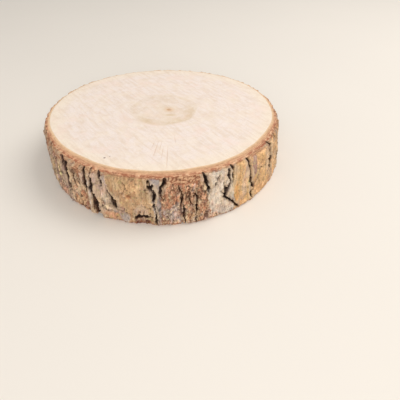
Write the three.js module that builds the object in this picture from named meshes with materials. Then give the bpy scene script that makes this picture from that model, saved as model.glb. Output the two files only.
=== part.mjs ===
// A slice of a young tree trunk, sawn straight across the grain and left in its bark.
// Units are millimetres, +Z is up, and the origin is on the underside at the middle of the slice.
// The slice grew as one piece, so it is one solid: wood, inner bark and furrowed outer bark together.
import * as THREE from "three";

// Driving dimensions.
const THICKNESS = 18; // between the two saw cuts
const WOOD_RADIUS = 43.4; // mean radius of the wood, out to where the bark begins
const FLARE = 0.6; // how much wider the trunk is at the lower cut than at the upper one
const COLUMN_SPACING = 2.2; // widest step between two columns of vertices on a plate
const FURROW_FADE = 1.5; // height over which a furrow that stops short runs out

// The bark is thickest on one side of the trunk. swing is how much it varies from side to side, and
// gathering draws its thick part in, so that the rest is thinner and more even.
const BARK = { mean: 2.6, swing: 1.9, gathering: 0.7, thickestAt: 280 };
const PLATE_CROWN = 0.1; // how far a plate's middle stands above its sides, as a share of the bark
const EDGE_WEAR = 0.2; // how far the bark is worn back at the sawn edges, as a share of the bark
const WORN_HEIGHT = 1.1; // how far that wear reaches from each cut

// The trunk leans a little, so the lower cut stands out to one side of the upper one.
const LEAN = { offset: 0.8, towards: 300 };

// The trunk isn't round: a slow oval and a weaker three-lobed wave around its girth.
const GIRTH_WAVES = [
  { lobes: 2, height: 0.75, peak: -6 },
  { lobes: 3, height: 0.42, peak: 40 },
];

// Furrows between the bark plates, in degrees round from +X: where each one stands at half height and
// how far it leans between the cuts, its width in millimetres, its depth as a share of the bark, and
// the heights between which it runs.
const FRONT_FURROWS = [
  { at: 217.5, lean: 2, width: 2.0, depth: 0.6, from: 0, to: THICKNESS },
  { at: 229.3, lean: 2, width: 2.1, depth: 0.7, from: 2, to: THICKNESS },
  { at: 244, lean: 3, width: 2.4, depth: 0.75, from: 0, to: 12 },
  { at: 253, lean: 3, width: 1.5, depth: 0.5, from: 4, to: 11 },
  { at: 269.3, lean: 1, width: 2.0, depth: 0.65, from: 6, to: THICKNESS },
  { at: 280, lean: 2, width: 1.5, depth: 0.45, from: 0, to: 15 },
  { at: 291, lean: 2, width: 1.8, depth: 0.6, from: 5, to: THICKNESS },
  { at: 302, lean: 3, width: 1.9, depth: 0.65, from: 0, to: THICKNESS },
  { at: 314, lean: 3, width: 1.7, depth: 0.6, from: 0, to: THICKNESS },
  { at: 329, lean: 3, width: 2.3, depth: 0.75, from: 0, to: THICKNESS },
];

// Round the back the furrows follow the same habit: unevenly spaced, all leaning a little one way.
const BACK_FURROW_COUNT = 20;
const BACK_STARTS = 341;
const BACK_SPAN = 224;
const backFurrow = (_, i) => ({
  at: (BACK_STARTS + (BACK_SPAN * (i + 0.3 * Math.sin(2.4 * i))) / BACK_FURROW_COUNT) % 360,
  lean: 2 + Math.sin(1.3 * i),
  width: 1.8 + 0.4 * Math.sin(1.9 * i),
  depth: 0.6 + 0.12 * Math.sin(2.7 * i + 1),
  from: i % 4 === 1 ? 5 : 0,
  to: i % 5 === 2 ? 13 : THICKNESS,
});

const FURROWS = [...FRONT_FURROWS, ...Array.from({ length: BACK_FURROW_COUNT }, backFurrow)].sort(
  (a, b) => a.at - b.at,
);

// Where the bark has chipped away at the lower edge, its depth again as a share of the bark.
const CHIP = { at: 265, height: 1.2, width: 5.5, tall: 2.6, depth: 0.5 };

// No cut goes deeper than this share of the bark, so the wood is never laid bare.
const DEEPEST = 0.85;

const radians = (degrees) => (degrees * Math.PI) / 180;
const arcDegrees = (length) => (length / (WOOD_RADIUS + BARK.mean)) * (180 / Math.PI);
const angleBetween = (a, b) => ((((b - a) % 360) + 540) % 360) - 180;

// Radius of the wood at an angle in degrees and a height above the lower cut.
function woodRadius(angle, z) {
  const waves = GIRTH_WAVES.map((w) => w.height * Math.cos(radians(w.lobes * (angle - w.peak))));
  const below = 0.5 - z / THICKNESS;
  const lean = LEAN.offset * below * Math.cos(radians(angle - LEAN.towards));
  return waves.reduce((sum, wave) => sum + wave, WOOD_RADIUS + FLARE * below + lean);
}

// Thickness of the bark at an angle, over its plates.
function barkThickness(angle) {
  const turn = radians(angle - BARK.thickestAt);
  return BARK.mean + BARK.swing * Math.cos(turn) + BARK.gathering * Math.cos(2 * turn);
}

// How much of its full depth a furrow has at height z.
function furrowShare(furrow, z) {
  const aboveStart = furrow.from > 0 ? (z - furrow.from) / FURROW_FADE : 1;
  const belowEnd = furrow.to < THICKNESS ? (furrow.to - z) / FURROW_FADE : 1;
  return THREE.MathUtils.clamp(Math.min(aboveStart, belowEnd), 0, 1);
}

// How far the chip cuts into the bark at an angle and height.
function chipDepth(angle, z) {
  const across = angleBetween(CHIP.at, angle) / (arcDegrees(CHIP.width) / 2);
  const up = (z - CHIP.height) / CHIP.tall;
  return CHIP.depth * Math.max(0, 1 - across * across - up * up);
}

// Columns of vertices round the slice. Each furrow has one at either lip and one on its floor, and each
// plate has enough between for its crown, which is 1 at the plate's middle and 0 at its sides.
const columns = FURROWS.flatMap((furrow, i) => {
  const next = FURROWS[(i + 1) % FURROWS.length];
  const half = arcDegrees(furrow.width) / 2;
  const plate = ((next.at - furrow.at + 360) % 360) - half - arcDegrees(next.width) / 2;
  const steps = Math.max(2, Math.ceil(plate / arcDegrees(COLUMN_SPACING)));
  const across = Array.from({ length: steps }, (_, k) => {
    const t = k / steps;
    return {
      at: furrow.at + half + plate * t,
      lean: THREE.MathUtils.lerp(furrow.lean, next.lean, t),
      crown: 4 * t * (1 - t),
    };
  });
  return [
    { at: furrow.at - half, lean: furrow.lean, crown: 0 },
    { at: furrow.at, lean: furrow.lean, crown: 0, furrow },
    ...across,
  ];
});

// Heights of the rows of vertices: close together where the sawn edges are worn.
const ROWS = [0, WORN_HEIGHT, 3, 5, 7.5, 10, 12.5, 15, THICKNESS - WORN_HEIGHT, THICKNESS];

// The point of the bark's surface on a column at height z.
function barkPoint(column, z) {
  const angle = column.at + column.lean * (0.5 - z / THICKNESS);
  const bark = barkThickness(angle);
  const toCut = Math.min(z, THICKNESS - z);
  const wear = EDGE_WEAR * Math.max(0, 1 - toCut / WORN_HEIGHT);
  const sink = column.furrow ? column.furrow.depth * furrowShare(column.furrow, z) : 0;
  const cut = Math.min(DEEPEST, sink + wear + chipDepth(angle, z));
  const radius = woodRadius(angle, z) + bark * (1 + PLATE_CROWN * column.crown - cut);
  return new THREE.Vector3(radius * Math.cos(radians(angle)), radius * Math.sin(radians(angle)), z);
}

// A plain cylinder's vertices, each moved to its own column and row. The two end fans stay flat.
function sliceGeometry() {
  const geometry = new THREE.CylinderGeometry(1, 1, 1, columns.length, ROWS.length - 1);
  const position = geometry.getAttribute("position");
  const v = new THREE.Vector3();
  for (let i = 0; i < position.count; i++) {
    v.fromBufferAttribute(position, i);
    const row = Math.round((v.y + 0.5) * (ROWS.length - 1));
    const onAxis = Math.hypot(v.x, v.z) < 0.5;
    const turn = Math.atan2(v.x, v.z) / (2 * Math.PI);
    const column = columns[Math.round((turn + 1) * columns.length) % columns.length];
    const moved = onAxis ? new THREE.Vector3(0, 0, ROWS[row]) : barkPoint(column, ROWS[row]);
    position.setXYZ(i, moved.x, moved.y, moved.z);
  }
  geometry.computeBoundingBox();
  const middle = geometry.boundingBox.getCenter(new THREE.Vector3());
  geometry.translate(-middle.x, -middle.y, 0);
  geometry.computeVertexNormals();
  return geometry;
}

const woodMaterial = new THREE.MeshStandardMaterial({
  color: 0xc9a47c,
  roughness: 0.85,
  metalness: 0,
});

const woodSlice = new THREE.Mesh(sliceGeometry(), woodMaterial);
woodSlice.name = "wood_slice";

const group = new THREE.Group();
group.add(woodSlice);

export default group;
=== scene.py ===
"""Looks for a slice of a young tree trunk in its bark, laid out as a Blender add-on and run as a script.

Lengths are in metres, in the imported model's own frame: +Z up along the grain, the underside at height 0.
Angles round the trunk are in degrees from +X, about the trunk's own axis.
"""

import math

import bpy
import numpy as np
from bpy.props import FloatProperty, FloatVectorProperty, IntProperty, PointerProperty
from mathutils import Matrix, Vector, noise
from mathutils.bvhtree import BVHTree


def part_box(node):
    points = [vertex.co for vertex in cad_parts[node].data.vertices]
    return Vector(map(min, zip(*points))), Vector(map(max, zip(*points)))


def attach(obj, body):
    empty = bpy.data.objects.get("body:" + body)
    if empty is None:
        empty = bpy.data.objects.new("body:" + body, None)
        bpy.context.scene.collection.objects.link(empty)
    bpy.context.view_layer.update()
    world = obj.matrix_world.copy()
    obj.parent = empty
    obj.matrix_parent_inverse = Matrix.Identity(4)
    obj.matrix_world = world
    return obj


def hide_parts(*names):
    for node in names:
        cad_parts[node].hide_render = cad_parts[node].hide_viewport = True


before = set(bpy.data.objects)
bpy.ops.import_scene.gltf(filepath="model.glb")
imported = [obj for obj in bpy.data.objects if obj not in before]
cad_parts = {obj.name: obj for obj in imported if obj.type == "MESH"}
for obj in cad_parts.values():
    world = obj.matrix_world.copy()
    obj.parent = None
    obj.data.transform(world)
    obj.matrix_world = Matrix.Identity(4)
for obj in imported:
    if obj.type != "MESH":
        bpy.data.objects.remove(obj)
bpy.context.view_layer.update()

bl_info = {
    "name": "Wood slice in its bark",
    "version": (1, 0, 0),
    "blender": (4, 5, 0),
    "location": "3D View > Sidebar > Wood slice",
    "description": "Builds a sawn slice of trunk with furrowed bark, growth rings and a studio stage",
    "category": "Object",
}

NODE = "wood_slice"
MM = 0.001
LOW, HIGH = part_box(NODE)
THICKNESS = HIGH.z - LOW.z


# ---- settings


def srgb(red, green, blue):
    """A colour given from 0 to 255, as the linear values that Blender's sockets take."""
    parts = [c / 255 for c in (red, green, blue)]
    return tuple(c / 12.92 if c <= 0.04045 else ((c + 0.055) / 1.055) ** 2.4 for c in parts)


def length(name, description, default):
    return FloatProperty(
        name=name, description=description, default=default, min=0, unit="LENGTH", precision=5
    )


def position(name, description, *default):
    return FloatVectorProperty(
        name=name, description=description, default=default, size=len(default), subtype="XYZ", unit="LENGTH"
    )


def power(name, description, default):
    return FloatProperty(name=name, description=description, default=default, unit="POWER")


def colour(name, description, *default):
    return FloatVectorProperty(
        name=name, description=description, default=srgb(*default), min=0, max=1, size=3, subtype="COLOR"
    )


class SliceShape(bpy.types.PropertyGroup):
    """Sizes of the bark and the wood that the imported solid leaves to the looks."""

    bark_share: FloatProperty(
        name="Bark share",
        description="Thickness of the bark, as a share of its usual one",
        default=1,
        min=0.5,
        max=1.1,
    )
    pith: position("Pith", "Where the pith stands, from the trunk's axis", 2.6 * MM, -0.1 * MM)
    stain_shift: position("Stain shift", "Middle of the brown stain, from the pith", -2.4 * MM, 0.8 * MM)
    scale_width: length("Scale width", "Width of one scale of bark", 3.6 * MM)
    scale_height: length("Scale height", "Height of one scale of bark", 6.5 * MM)
    scale_relief: length("Scale relief", "How far one scale stands above the next", 0.75 * MM)
    crack_depth: length("Crack depth", "Depth of the cracks between scales", 0.7 * MM)
    fibre_relief: length("Fibre relief", "Height of the fibres along the bark", 0.28 * MM)
    grain_relief: length("Grain relief", "Height of the bark's fine grain", 0.16 * MM)
    crumble: length("Crumble", "How far the sawn bark has crumbled at its edges", 0.5 * MM)
    seed: IntProperty(name="Seed", description="Changes the pattern of the scales", default=4)


class SliceColours(bpy.types.PropertyGroup):
    """Colours of the wood and the bark."""

    cream: colour("Wood", "Pale sapwood of the sawn face", 243, 231, 225)
    outer_wood: colour("Outer wood", "Youngest wood, next to the bark", 245, 231, 213)
    ring: colour("Ring", "Late wood at the end of each year", 226, 205, 184)
    blush: colour("Blush", "Faintly pink patches in the sapwood", 244, 220, 208)
    stain: colour("Stain", "Brown stain round the pith", 216, 192, 156)
    pith: colour("Pith", "The pith itself", 188, 132, 76)
    cambium: colour("Cambium", "Thin line between the wood and the bark", 232, 202, 165)
    inner_bark: colour("Inner bark", "Fresh inner bark on the sawn face", 216, 174, 136)
    inner_lines: colour("Inner bark lines", "Darker layers of the inner bark", 158, 96, 68)
    grey: colour("Grey bark", "Weathered grey plates", 178, 166, 162)
    pale: colour("Pale bark", "Ash-grey plates", 220, 206, 190)
    olive: colour("Olive bark", "Olive-tan plates", 192, 158, 120)
    ochre: colour("Ochre bark", "Ochre plates", 224, 182, 130)
    tan: colour("Tan bark", "Tan plates", 224, 178, 130)
    salmon: colour("Salmon bark", "Freshly split plates", 214, 162, 128)
    pink: colour("Pinkish bark", "Smooth pinkish-beige plates", 212, 184, 168)
    amber: colour("Amber bark", "Split edges of the ochre plates", 226, 168, 104)
    # Cream bark also gives the painted highlight on the furrows' lips and along the flakes' edges.
    cream_bark: colour("Cream bark", "Light ridges and split edges", 226, 200, 163)
    knot: colour("Knot", "Small rusty knots", 138, 84, 46)
    # Cavity is the bark's dark red together with painted shade from the plate that overhangs the chip.
    cavity: colour("Cavity", "Dark red bark laid bare by the chip", 112, 56, 44)
    rust: colour("Rust bark", "Reddish scaly bark", 184, 132, 102)
    plum: colour("Plum bark", "Purplish-grey plates", 168, 138, 130)
    lichen: colour("Lichen", "Faint growth on the weathered plates", 186, 184, 116)
    # Furrow and furrow wall serve as painted shadow and painted shade in the furrows, the cracks and under
    # the flakes' edges.
    furrow: colour("Furrow", "Floor of the deep furrows", 38, 22, 15)
    furrow_wall: colour("Furrow wall", "Sides of the furrows", 98, 59, 40)


class StageSettings(bpy.types.PropertyGroup):
    """The floor, the light and the camera."""

    floor: colour("Floor", "Colour of the floor", 236, 231, 224)
    key_power: power("Key light", "Power of the key light", 2.0)
    fill_power: power("Fill light", "Power of the fill light", 3.2)
    sky: FloatProperty(name="Sky", description="Strength of the light from all round", default=0.54, min=0)
    eye: position("Camera place", "Where the camera stands", 14.65 * MM, -135.75 * MM, 85.2 * MM)
    pitch: FloatProperty(
        name="Camera tilt",
        description="How far the camera looks down",
        default=math.radians(39.64),
        subtype="ANGLE",
    )
    lens: FloatProperty(name="Lens", description="Focal length of the camera, in millimetres", default=33.3)


# ---- bark plates

# Where each plate on the thick side of the trunk begins, at the upper cut and at the lower one, its colour,
# and how scaly it is from 0 to 1.
FRONT_PLATES = [
    (217, 219, "plum", 0.85), (229.5, 232.5, "rust", 1.0), (243, 245.5, "pink", 0.4),
    (251.5, 254.5, "olive", 0.25), (269, 270.5, "grey", 0.5), (273, 273, "rust", 0.9),
    (290.3, 292.5, "pale", 0.3), (301.8, 303.5, "ochre", 0.3), (312.4, 314.4, "tan", 0.35),
    (327.5, 330.5, "tan", 0.4), (341, 341, "", 0),
]
BACK_COLOURS = ["grey", "tan", "rust", "plum", "olive", "ochre", "pink", "pale"]

# Patches on the plates: angle, height above the underside, half-width and half-height, all lengths in
# millimetres, then colour, strength, and how scaly the patch is, where it doesn't keep the plate's own.
PATCHES = [
    (206, 9, 5.0, 14, "plum", 0.85, 0.5), (197, 9, 4.0, 14, "grey", 0.7, 0.5),
    (222.5, 9.5, 1.6, 4.0, "cream_bark", 0.5), (223, 11, 0.9, 3.5, "lichen", 0.6),
    (228, 14, 3.0, 3.5, "plum", 0.85, 0.4), (227, 9, 1.2, 5.0, "plum", 0.9, 0.2),
    (221, 15, 2.2, 2.5, "salmon", 0.5), (224, 3, 3.5, 2.6, "salmon", 0.6, 0.3),
    (232.5, 12, 1.0, 5.0, "cream_bark", 0.7), (235.5, 12.5, 1.6, 2.6, "rust", 0.7, 1.0),
    (236.5, 8, 1.2, 2.2, "cream_bark", 0.6), (238, 3, 2.2, 2.4, "plum", 0.6),
    (234, 2, 1.4, 1.6, "cream_bark", 0.5), (237, 4, 2.6, 2.6, "ochre", 0.5),
    (239, 15, 1.0, 2.4, "pink", 0.9, 0.15), (242.5, 8.8, 0.8, 9.0, "cream_bark", 0.8, 0.0),
    (242.5, 7.0, 0.6, 7.0, "cream", 0.9, 0.0), (246.8, 13, 1.7, 4.6, "pink", 1.0, 0.0),
    (247.4, 12, 1.1, 4.0, "plum", 0.35, 0.0), (250.6, 15.2, 0.8, 2.0, "grey", 0.8, 0.4),
    (248, 7.2, 1.3, 1.4, "rust", 0.8, 0.8), (251, 8, 1.5, 2.8, "pale", 0.75, 1.0),
    (250, 5, 1.6, 0.9, "cream_bark", 0.7, 1.0), (252, 2.2, 3.4, 1.9, "salmon", 0.95, 0.12),
    (255.5, 4.8, 1.2, 1.4, "grey", 0.9, 0.2), (258.5, 2.2, 1.9, 2.4, "grey", 0.9, 0.15),
    (257, 5.4, 1.5, 1.6, "plum", 0.75, 0.15), (261, 11, 0.75, 0.5, "knot", 1.0, 0.6),
    (261, 11, 1.6, 1.1, "amber", 0.35), (262.5, 14, 3.5, 2.0, "tan", 0.3),
    (256, 14.5, 1.4, 1.6, "cream_bark", 0.35), (265.5, 6.2, 2.2, 2.4, "pink", 0.45),
    (272.0, 15.6, 1.6, 3.2, "grey", 0.9, 0.12), (276, 14.5, 2.0, 1.6, "salmon", 0.6, 1.0),
    (285, 15, 2.2, 1.4, "salmon", 0.6, 1.0), (278, 5, 4.0, 4.0, "grey", 0.8),
    (285, 3, 3.0, 3.0, "olive", 0.8), (296, 3, 2.5, 2.5, "plum", 0.35),
    (293, 1.2, 2.0, 1.6, "salmon", 0.7), (302.4, 12.5, 0.45, 4.0, "cream_bark", 0.8, 0.2),
    (304.4, 7, 0.9, 5.0, "amber", 0.8, 0.2), (306.5, 2.2, 1.6, 1.4, "amber", 0.6),
    (308.4, 8, 1.2, 4.0, "grey", 0.45), (310.2, 14.5, 1.2, 3.8, "plum", 0.85),
    (311, 9, 0.5, 0.8, "lichen", 0.8), (314.8, 13.5, 1.5, 4.2, "plum", 0.95, 0.2),
    (320, 15, 2.4, 1.6, "ochre", 0.8, 0.2), (317, 9.5, 0.8, 0.9, "lichen", 0.6),
    (321, 7, 3.5, 6.0, "ochre", 0.6), (330, 4, 1.2, 4.0, "plum", 0.6),
]

# Thickness of the bark over its plates: angle, then millimetres.
BARK_WIDTHS = [
    (0, 2.3), (30, 1.5), (100, 1.2), (150, 1.35), (185, 1.9), (200, 2.7), (212, 3.4), (224, 3.8),
    (234, 4.5), (244, 4.5), (254, 4.8), (265, 5.0), (281, 5.1), (290, 5.0), (302, 4.5), (326, 4.5),
    (336, 3.9), (345, 3.1),
]

# How far the torn inner bark reaches below the upper cut: angle, then millimetres.
BAST_REACH = [
    (0, 0.9), (60, 0.6), (120, 0.9), (180, 0.6), (205, 2.2), (217, 3.1), (226, 3.6), (237, 3.4),
    (244, 1.7), (250, 0.8), (253, 0.25), (273, 0.25), (275, 1.2), (278, 2.2), (287, 2.2), (291, 0.5),
    (300, 0.3), (312, 0.3), (316, 0.7), (326, 0.5), (340, 0.8),
]
LOWER_BAST = 0.7  # the same at the lower cut, in millimetres

# The furrows and cracks on the thick side: how deep each is as a share of the bark, and then its points,
# each an angle, a height above the underside and a half-width, both in millimetres.
FRONT_CRACKS = [
    (0.6, [(201.5, 18.2, 0.9), (203.5, 13.5, 1.3), (205.5, 9, 1.1), (207.5, 5, 0.5)]),
    (0.6, [(213.5, 18, 0.6), (215.5, 12, 0.9), (216, 6, 0.9), (217, 0, 0.5)]),
    (0.75, [
        (226.8, 16.4, 1.2), (228.8, 14.8, 2.0), (229.9, 12.4, 1.7), (229.6, 9, 1.2), (230.6, 3.8, 0.6),
    ]),
    (0.4, [(234.5, 14, 0.4), (235.6, 9.5, 0.6), (236.8, 5, 0.4)]),
    (0.7, [(240.4, 17.6, 0.4), (241.2, 14.8, 0.8), (240.9, 11.2, 0.95), (240.6, 8.4, 0.4)]),
    (0.75, [
        (244.4, 17.8, 0.3), (244.1, 15, 0.5), (243.9, 10.6, 1.1), (245, 6.6, 1.4), (245.7, 3.2, 1.3),
        (246, 0, 1.4),
    ]),
    (0.55, [(248.4, 17.8, 0.4), (249.4, 15.5, 0.6), (249.6, 13, 0.3)]),
    (0.7, [
        (251.6, 12.4, 0.3), (252.4, 11.2, 0.6), (253.5, 9.2, 0.85), (254.5, 7.1, 1.0), (255.2, 5.4, 0.4),
    ]),
    (0.25, [(254.6, 6.2, 0.2), (258, 5, 0.22), (262, 3, 0.22)]),
    (0.3, [(266.2, 7.5, 0.15), (268.9, 7.1, 0.22)]),
    (0.35, [(248.4, 4.6, 0.2), (251, 4.1, 0.25), (253.8, 4.4, 0.2)]),
    # The chip's upper edge: a crack whose dark core is painted shadow under the overhanging plate.
    (0.5, [(263.0, 2.5, 0.5), (264.8, 3.2, 0.7), (266.8, 3.5, 0.75), (269.0, 3.6, 0.55)]),
    (0.55, [
        (268.4, 17.6, 0.3), (269.2, 16, 0.5), (270.2, 14.2, 0.6), (270.7, 12.4, 0.75), (270.4, 10, 0.4),
    ]),
    (0.3, [(269.6, 17.2, 0.15), (270.2, 15.6, 0.2), (270.9, 13.6, 0.3)]),
    (0.55, [(275.2, 17.6, 0.5), (274.4, 16.4, 0.6), (273.5, 15, 0.5), (272.6, 13, 0.3)]),
    (0.45, [(270.4, 8.5, 0.25), (271, 4, 0.35), (270.6, 0, 0.3)]),
    (0.45, [(280.5, 14, 0.2), (281.2, 10.5, 0.35), (280.4, 7, 0.2)]),
    (0.45, [(282, 7.5, 0.2), (281.4, 4, 0.35), (282.4, 0, 0.3)]),
    (0.45, [(286.4, 12, 0.2), (287, 8, 0.4), (286.2, 4.5, 0.2)]),
    (0.65, [(290.0, 18.4, 0.45), (290.5, 16.2, 0.7), (291.2, 14, 0.65), (292.2, 11, 0.3)]),
    (0.35, [(295.8, 15.8, 0.35), (295.2, 14, 0.3), (294.9, 13, 0.12)]),
    (0.68, [(300.5, 17.2, 0.5), (300.9, 12.4, 0.6), (299.8, 10.2, 1.0), (298.4, 8, 0.65)]),
    (0.62, [(302.7, 17.6, 0.6), (302.5, 14, 0.45), (302.2, 11, 0.2)]),
    (0.65, [(298.4, 8, 0.5), (299.8, 6.2, 0.4), (302.2, 4.6, 0.35), (303.3, 2.8, 0.45), (305.8, 0.7, 0.4)]),
    (0.3, [(298.0, 13.4, 0.3), (298.9, 11, 0.35)]),
    (0.75, [(311.2, 17.2, 0.6), (311.9, 13, 0.75), (312.1, 10, 0.75), (313, 7, 0.65), (314.6, 5.2, 0.3)]),
    (0.6, [(314.6, 5.2, 0.25), (312.9, 3.9, 0.5), (313.2, 1.6, 0.45), (314, 0.8, 0.2)]),
    (0.35, [(314.6, 5.4, 0.25), (317, 7.2, 0.2), (318.6, 7.8, 0.12)]),
    (0.2, [(316.4, 11.8, 0.3), (320.6, 11.2, 0.25), (325.4, 10.2, 0.3)]),
    (0.6, [(327.2, 18.2, 1.3), (327.8, 14.5, 1.6), (328.2, 12, 1.5), (328.8, 8.6, 1.2), (329.8, 5, 0.6)]),
    (0.5, [(329.2, 7, 0.5), (330.6, 2, 0.4)]),
    (0.45, [(336, 18, 0.4), (336.5, 10, 0.4), (338, 0, 0.5)]),
]
SMALL_CRACKS = 200  # further cracks scattered round the whole trunk
CRACK_SEED, SMALL_CRACK_SEED, PLATE_SEED = 5, 8, 11  # for what is drawn by chance

# Drying checks on the upper face: angle round the pith, and the distances from it between which each runs.
CHECKS = [
    (262.0, 25 * MM, 31 * MM), (265.0, 27 * MM, 35 * MM), (267.6, 24 * MM, 30 * MM),
    (269.4, 29 * MM, 36 * MM), (272.4, 29 * MM, 37 * MM), (278.5, 22 * MM, 26 * MM),
]
# Small dark nicks in the upper face: place from the axis, then radius.
NICKS = [(-16.5 * MM, -35.5 * MM, 0.38 * MM), (-14.9 * MM, -34.6 * MM, 0.2 * MM)]

COLUMNS = 1080  # points round each loop of the slice
SIDE_ROWS = 56  # loops up the bark
RIM_LOOPS = 8  # loops across the bark on each sawn face
WOOD_SHARES = (0.04, 0.3, 0.48, 0.56, 0.64, 0.74, 0.86, 1.0)  # the wood's loops, from pith to bark
TABLE_STEP = 0.5  # degrees between the columns of the table of radii
TABLE_ROWS = 37
CUT_CLEARANCE = 0.1 * MM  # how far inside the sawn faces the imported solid's radius is measured
LOWER_WEAR = 1.2 * MM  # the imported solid's wear at the lower cut, which the crumbled relief takes over
LEAN_CLEARANCE = 1.3 * MM  # how far from the cuts the trunk's lean is read, clear of that wear
FAR_OUT = 80 * MM  # outside the bark on every side
PLATE_REACH = 9  # columns of the table to either side in which the top of a plate is looked for
FURROW_APART = 4  # columns to either side in which a furrow has to be the deepest
FURROW_DRIFT = 6  # columns by which a furrow may wander from its middle
LEAST_FURROW = 0.1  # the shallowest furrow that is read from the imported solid, as a share of the bark
CRACK_STEP, LEAST_CRACK = 5, 0.15  # rows between a back crack's points, and the depth where it ends
FURROW_REACH = 0.75  # how much of the bark's thickness a furrow of full depth cuts through
MEAN_CROWN = 0.05  # how far the plates' tops stand above the bark's own thickness, as a share of it
CHIP_AT, CHIP_REACH, CHIP_TOP = 265, 5, 4 * MM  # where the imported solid's lower edge is chipped

MAP_ROOM = 1.04  # room that a sawn face has in its half of the map, as a multiple of its width
MAP_SEAM = 217.5  # the angle at which the first strip of bark begins
STRIP_ANGLE = 120
STRIP_PITCH, STRIP_HEIGHT, MAP_MARGIN = 0.163, 0.15, 0.01
LOWER, BARK, UPPER = range(3)  # the regions of the slice's surface


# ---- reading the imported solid


def smooth_step(low, high, value):
    t = np.clip((value - low) / (high - low), 0, 1)
    return t * t * (3 - 2 * t)


def directions(degrees):
    turn = np.radians(degrees)
    return np.stack([np.cos(turn), np.sin(turn), np.zeros_like(turn)], axis=-1)


def turned(degrees, start):
    """The turn from start to an angle, between -180 and 180 degrees."""
    return (degrees - start + 180) % 360 - 180


def speckle(points, size, shift=0.0):
    """Smooth noise from about -1 to 1 with lumps of the given size, at an array of points."""
    flat = points.reshape(-1, 3) / size + shift
    return np.array([noise.noise(p) for p in flat.tolist()]).reshape(points.shape[:-1])


def read_all(items, name, kind, width=1):
    values = np.empty(len(items) * width, dtype=kind)
    items.foreach_get(name, values)
    return values


def mesh_points(mesh):
    return read_all(mesh.vertices, "co", float, 3).reshape(-1, 3)


def trunk_axis(node):
    """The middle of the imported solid's upper face, where its fan of triangles meets."""
    points = mesh_points(node.data)
    top = points[points[:, 2] > HIGH.z - CUT_CLEARANCE]
    x, y, _ = top[np.argmin(np.hypot(top[:, 0], top[:, 1]))]
    return np.array([x, y, 0.0])


class Trunk:
    """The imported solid, read as radii about the trunk's axis on an even grid of angles and heights."""

    def __init__(self, node):
        self.axis = trunk_axis(node)
        tree = BVHTree.FromPolygons(
            [v.co for v in node.data.vertices], [tuple(p.vertices) for p in node.data.polygons]
        )
        self.heights = np.linspace(LOW.z + CUT_CLEARANCE, HIGH.z - CUT_CLEARANCE, TABLE_ROWS)
        angles = np.arange(0, 360, TABLE_STEP)
        self.radii = np.array([[self.cast(tree, a, z) for a in directions(angles)] for z in self.heights])
        reach = range(-PLATE_REACH, PLATE_REACH + 1)
        tops = np.max([np.roll(self.radii, s, axis=1) for s in reach], axis=0)
        self.plate_tops = np.mean([np.roll(tops, s, axis=1) for s in reach], axis=0)

    def cast(self, tree, outward, z):
        start = Vector(self.axis + outward * FAR_OUT + (0, 0, z))
        hit = tree.ray_cast(start, Vector(-outward))
        return FAR_OUT - hit[3]

    def read(self, table, degrees, z):
        """The table's value between its grid points."""
        column = (degrees % 360) / TABLE_STEP
        row = np.interp(z, self.heights, np.arange(TABLE_ROWS))
        left, low = np.floor(column).astype(int), np.clip(np.floor(row).astype(int), 0, TABLE_ROWS - 2)
        across, up = column - left, row - low
        wide = table.shape[1]
        near, far = left % wide, (left + 1) % wide
        lower = table[low, near] * (1 - across) + table[low, far] * across
        upper = table[low + 1, near] * (1 - across) + table[low + 1, far] * across
        return lower * (1 - up) + upper * up

    def furrow_lines(self, bark):
        """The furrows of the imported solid: for each, its angle and depth at every height of the table."""
        cut = (self.plate_tops - self.radii) / bark
        depth = cut.mean(axis=0)
        near = [np.roll(depth, s) for s in range(-FURROW_APART, FURROW_APART + 1)]
        middles = np.flatnonzero((depth >= np.max(near, axis=0)) & (depth > LEAST_FURROW))
        reach = np.arange(-FURROW_DRIFT, FURROW_DRIFT + 1)
        rows = np.arange(TABLE_ROWS)
        for middle in middles:
            columns = (middle + reach) % cut.shape[1]
            best = cut[:, columns].argmax(axis=1)
            yield (middle + reach[best]) * TABLE_STEP, cut[rows, columns[best]]


# ---- cracks, plates and patches


def bark_thickness(shape, degrees):
    return np.interp(degrees, *zip(*BARK_WIDTHS), period=360) * shape.bark_share * MM


def arc(degrees):
    """Millimetres round the bark that an angle spans."""
    return np.radians(degrees) * HIGH.x / MM


def back_furrows(trunk, bark):
    """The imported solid's furrows away from the thick side: the angle and depth of each, up the table."""
    first, last = FRONT_PLATES[0][0], FRONT_PLATES[-1][0]
    for angles, depths in trunk.furrow_lines(bark):
        if not first <= angles.mean() % 360 < last:
            yield angles, depths


def back_cracks(trunk, bark):
    """Those furrows as cracks, each bent and widened by chance."""
    draw = np.random.default_rng(CRACK_SEED)
    for angles, depths in back_furrows(trunk, bark):
        rows = [i for i in range(0, TABLE_ROWS, CRACK_STEP) if depths[i] > LEAST_CRACK]
        bends = draw.normal(0, 0.5, len(rows))
        widths = draw.uniform(0.25, 0.75, len(rows))
        if len(rows) > 1:
            strength = draw.uniform(0.5, 0.65)
            steps = zip(rows, bends, widths)
            yield strength, [(angles[i] + bend, trunk.heights[i] / MM, width) for i, bend, width in steps]


def small_cracks():
    """Short cracks at random round the trunk, nearly upright, each thinning out at both ends."""
    draw = np.random.default_rng(SMALL_CRACK_SEED)
    for _ in range(SMALL_CRACKS):
        angle, height = draw.uniform(0, 360), draw.uniform(1, 17)
        points = [(angle, height, 0.08)]
        for width in (draw.uniform(0.15, 0.3), draw.uniform(0.12, 0.26), 0.08):
            angle += draw.normal(0.2, 0.8)
            height -= draw.uniform(0.5, 1.6)
            points.append((angle, height, width))
        yield draw.uniform(0.18, 0.4), points


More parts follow.
